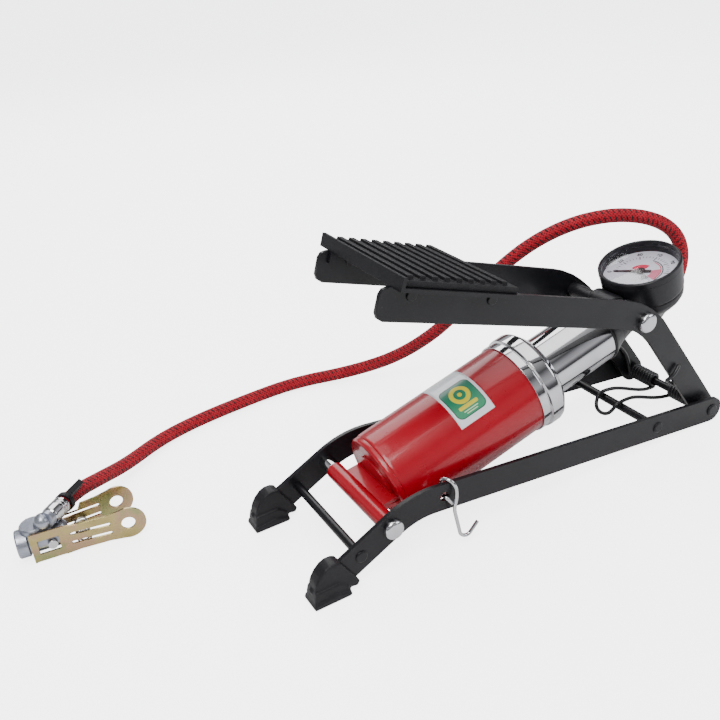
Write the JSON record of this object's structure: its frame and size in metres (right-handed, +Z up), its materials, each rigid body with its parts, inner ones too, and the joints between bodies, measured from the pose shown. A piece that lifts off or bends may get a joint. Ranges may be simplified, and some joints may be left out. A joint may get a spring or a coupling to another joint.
{
  "type": "portable tire inflator",
  "caption": "Foot-operated tyre inflator with a folding steel frame, red pump barrel, pedal lever, pressure gauge, braided hose and clip-on valve chuck.",
  "frame": {"origin": "middle of the pump's own footprint on the floor, measured without the hose and chuck", "axes": "+X towards the rear hinge, +Y to the far side, +Z up"},
  "size_m": [0.418, 0.2119, 0.1584],
  "materials": {
    "frame_paint": "satin black enamel",
    "barrel_paint": "gloss red enamel",
    "chrome": "polished chrome plate",
    "cast_black": "satin black moulding",
    "gauge_black": "black moulding",
    "rubber_black": "moulded rubber",
    "dial_white": "printed dial",
    "lens_clear": "clear lens",
    "needle_red": "red pointer",
    "brass": "machined brass",
    "steel": "bright steel",
    "spring_black": "blackened spring wire",
    "zinc_yellow": "yellow passivated zinc",
    "chuck_alloy": "cast alloy",
    "hose_braid": "red braid with black flecks",
    "nylon_white": "acetal"
  },
  "bodies": {
    "base_frame": {"base_strap_near": "frame_paint", "base_strap_far": "frame_paint", "front_rod": "frame_paint", "rear_rod": "frame_paint", "hinge_rod": "frame_paint", "barrel_pivot_pin": "chrome", "pivot_spacer_near": "chrome", "pivot_spacer_far": "chrome", "front_foot_near": "rubber_black", "front_foot_far": "rubber_black", "return_spring": "spring_black", "air_hose": "hose_braid", "hose_ferrule": "chrome", "hose_tag": "rubber_black", "chuck_body": "chuck_alloy", "chuck_seal": "rubber_black", "chuck_depressor": "brass", "chuck_cross_stud_near": "chrome", "chuck_cross_stud_far": "chrome", "clip_spring": "steel"},
    "lever": {"lever_plate_near": "frame_paint", "lever_plate_far": "frame_paint", "head_pivot_pin": "chrome", "head_spacer_near": "cast_black", "head_spacer_far": "cast_black", "pedal_tray": "frame_paint", "pedal_pad": "rubber_black", "pedal_rivets": "frame_paint"},
    "barrel": {"barrel_tube": "barrel_paint", "barrel_end_cap": "barrel_paint", "barrel_hinge_bracket": "barrel_paint", "barrel_collar": "chrome", "guide_bush": "nylon_white", "intake_flap": "rubber_black"},
    "pump_rod": {"pump_tube": "chrome", "piston": "chuck_alloy", "piston_cup_seal": "rubber_black", "check_spring": "steel", "check_spring_seat": "brass", "pump_head": "cast_black", "gauge_case": "gauge_black", "gauge_bezel": "gauge_black", "gauge_dial": "dial_white", "gauge_lens": "lens_clear", "gauge_stem": "brass", "gauge_bourdon_tube": "brass"},
    "check_ball": {"check_ball": "steel"},
    "needle": {"gauge_needle": "needle_red"},
    "hook": {"storage_hook": "chrome"},
    "hose_end": {"hose_end_collar": "chrome"},
    "clip_near": {"clip_plate_near": "zinc_yellow"},
    "clip_far": {"clip_plate_far": "zinc_yellow"}
  },
  "joints": [
    {"name": "lever_press", "type": "hinge", "parent": "base_frame", "child": "lever", "pos_m": [0.1366, 0, 0.008], "axis": [0, -1, 0], "range_deg": [0, 22], "stiffness_Nm_per_rad": 3, "springref_deg": -34.38, "deforming": ["return_spring"]},
    {"name": "barrel_tilt", "type": "hinge", "parent": "base_frame", "child": "barrel", "pos_m": [-0.0949, 0, 0.0255], "axis": [0, -1, 0], "range_deg": [-6.7, 0.1]},
    {"name": "pump_slide", "type": "slide", "parent": "barrel", "child": "pump_rod", "axis": [0.9648, 0, 0.2629], "range_m": [-0.0315, 0.0002]},
    {"name": "hose_end_sway", "type": "hinge", "parent": "base_frame", "child": "hose_end", "pos_m": [-0.15132, 0, 0.29201], "axis": [0, -1, 0], "range_deg": [-6.7, 0.1]},
    {"name": "check_ball_lift", "type": "slide", "parent": "pump_rod", "child": "check_ball", "axis": [0.9648, 0, 0.2629], "range_m": [0, 0.0015], "stiffness_N_per_m": 20, "springref_m": -0.001, "deforming": ["check_spring"]},
    {"name": "needle_turn", "type": "hinge", "parent": "pump_rod", "child": "needle", "pos_m": [0.10721, 0, 0.09628], "axis": [-0.2629, 0, 0.9648], "range_deg": [-222, 0], "stiffness_Nm_per_rad": 0.0002},
    {"name": "hook_swing", "type": "hinge", "parent": "base_frame", "child": "hook", "pos_m": [-0.063, -0.0363, 0.0309], "axis": [0, -1, 0], "range_deg": [-14, 24]},
    {"name": "clip_near_open", "type": "hinge", "parent": "base_frame", "child": "clip_near", "pos_m": [-0.23816, 0.07771, 0.0096], "axis": [0, 0, 1], "range_deg": [0, 8], "stiffness_Nm_per_rad": 1, "springref_deg": -5.73, "deforming": ["clip_spring"]},
    {"name": "clip_far_open", "type": "hinge", "parent": "base_frame", "child": "clip_far", "pos_m": [-0.23633, 0.09401, 0.0096], "axis": [0, 0, 1], "range_deg": [-8, 0]}
  ],
  "couplings": [
    {"joint": "barrel_tilt", "follows": "lever_press", "ratio": -0.2989},
    {"joint": "pump_slide", "follows": "lever_press", "m_per_rad": -0.081375},
    {"joint": "hose_end_sway", "follows": "lever_press", "ratio": -0.2989},
    {"joint": "clip_far_open", "follows": "clip_near_open", "ratio": -1}
  ]
}
